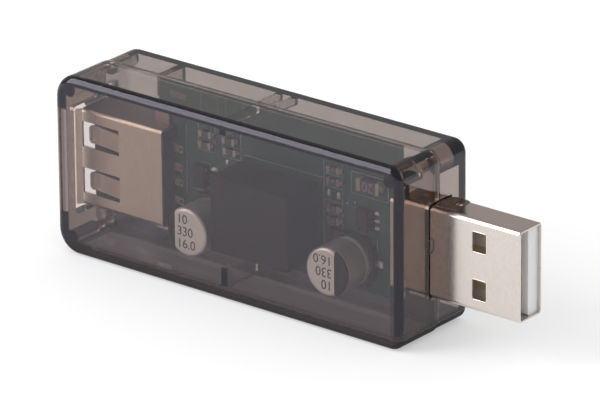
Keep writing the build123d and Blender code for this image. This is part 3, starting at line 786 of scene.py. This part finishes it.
def make_gate_mark():
    """An oval gate mark on the case's end, a thin tube along an ellipse.

    y and z are the half width and half height, each plus the tube's radius times the cosine of the tube's own
    turn, times the cosine and sine of the turn. x is the tube's radius times the sine of its own turn.
    """
    _, (plug_front, _), _ = node_span("plug_shell")
    (_, case_end), _, _ = node_span("front_shell")
    half_width, half_height, tube_radius = GATE
    count, sides = 48, 8
    turn = full_turn(count)[:, None]
    tube = full_turn(sides)
    out = tube_radius * np.cos(tube)
    y = plug_front - GATE_FROM_PLUG + (half_width + out) * np.cos(turn)
    z = (BOARD_BASE + BOARD_TOP) / 2 - GATE_DROP + (half_height + out) * np.sin(turn)
    x = case_end + tube_radius * np.sin(tube) + 0 * y
    gate = mottled("gate_mark", (0.045, 0.036, 0.03), (0.075, 0.06, 0.05), 2500, 0.3, spread=0.08,
                   relief=0.003)
    new_piece("gate_mark", np.stack([x, y, z], -1).reshape(-1, 3), closed_tube_faces(count, sides), gate,
              smooth=True)


make_board_print()
make_part_numbers()
make_end_caps()
make_solder()
make_bare_pad()
make_can("left", chord=1.8, marked=-1)
make_can("right", chord=1.28, marked=1)
make_window_rims()
make_lip_edge()
make_plug_top_marks()
make_gate_mark()


# Floor, lamp and world, in metres
def seen_by_eye(tree):
    """1 where the camera, a mirror or a clear body looks, and 0 where light is gathered."""
    path = add(tree, "ShaderNodeLightPath")
    rays = [path.outputs[name] for name in ("Is Camera Ray", "Is Glossy Ray", "Is Transmission Ray")]
    return combined(tree, "MAXIMUM", *rays)


def make_floor():
    """A pale floor that adds a little light of its own to what the eye sees, and so reads as white paper."""
    side = 6.0
    own_light = 0.38
    mesh = bpy.data.meshes.new("floor")
    corners = np.array([[-1, -1, 0], [1, -1, 0], [1, 1, 0], [-1, 1, 0]]) * side / 2
    mesh.from_pydata(corners.tolist(), [], [[0, 1, 2, 3]])
    made, tree, principled, _ = new_material("paper_floor")
    set_sockets(principled, {"Base Color": (0.62, 0.62, 0.62, 1), "Roughness": 0.9,
                             "Emission Color": (1, 1, 1, 1)})
    tree.links.new(scaled(tree, seen_by_eye(tree), own_light), principled.inputs["Emission Strength"])
    mesh.materials.append(made)
    floor = bpy.data.objects.new("floor", mesh)
    bpy.context.scene.collection.objects.link(floor)


def make_world():
    """An even pale room, a little less bright to the eye than as light."""
    world = bpy.data.worlds.new("room")
    world.use_nodes = True
    tree = world.node_tree
    background = tree.nodes["Background"]
    set_sockets(background, {"Color": (1, 1, 1, 1)})
    strength = add(tree, "ShaderNodeMapRange", [("Value", seen_by_eye(tree))], To_Min=0.86, To_Max=0.48)
    tree.links.new(strength.outputs[0], background.inputs["Strength"])
    bpy.context.scene.world = world


def soft_lamp(name, place, long_way, size, strength, colour):
    """A rectangular lamp that faces the frame's origin. long_way is the direction of its long side.

    strength is the brightness of its face, 1 being white paper.
    """
    lamp = bpy.data.lights.new(name, "AREA")
    lamp.shape = "RECTANGLE"
    lamp.size, lamp.size_y = size
    lamp.energy = strength * math.pi * size[0] * size[1]
    lamp.color = colour
    made = bpy.data.objects.new(name, lamp)
    back = Vector(place).normalized()
    along = Vector(long_way)
    along = (along - back * along.dot(back)).normalized()
    turn = Matrix([along, back.cross(along), back]).transposed()
    made.matrix_world = Matrix.Translation(place) @ turn.to_4x4()
    bpy.context.scene.collection.objects.link(made)


make_floor()
make_world()
soft_lamp("left_strip", place=(-0.722, -0.744, 0.496), long_way=(0, 0.54, 0.84), size=(1.24, 0.70),
          strength=4.0, colour=(0.96, 0.94, 1.0))


# Camera of the photograph
def place_camera():
    """Looks at the aim from the azimuth and elevation, turned about its own axis by the roll.

    Azimuth is counted from -Y towards +X. Right and down are the picture's axes before the roll.
    """
    azimuth, elevation, roll = np.radians([38.89, 21.92, 0.50])
    distance = 778.23 * MM
    aim = np.array([0.039, -0.452, 13.101]) * MM
    picture_width_px = 600
    focal_px = 6326
    back = np.array([
        math.sin(azimuth) * math.cos(elevation),
        -math.cos(azimuth) * math.cos(elevation),
        math.sin(elevation),
    ])
    right = np.cross(-back, [0, 0, 1])
    right /= np.linalg.norm(right)
    down = np.cross(-back, right)
    x_axis = math.cos(roll) * right + math.sin(roll) * down
    y_axis = math.sin(roll) * right - math.cos(roll) * down
    turned = Matrix(np.column_stack([x_axis, y_axis, back]).tolist()).to_4x4()
    camera = bpy.data.cameras.new("camera")
    camera.sensor_width = 36.0
    camera.lens = camera.sensor_width * focal_px / picture_width_px
    camera.clip_start = 0.01
    camera.clip_end = 20.0
    made = bpy.data.objects.new("camera", camera)
    made.matrix_world = Matrix.Translation(Vector(aim + back * distance)) @ turned
    bpy.context.scene.collection.objects.link(made)
    bpy.context.scene.camera = made


place_camera()
bpy.context.scene.view_settings.view_transform = "Standard"
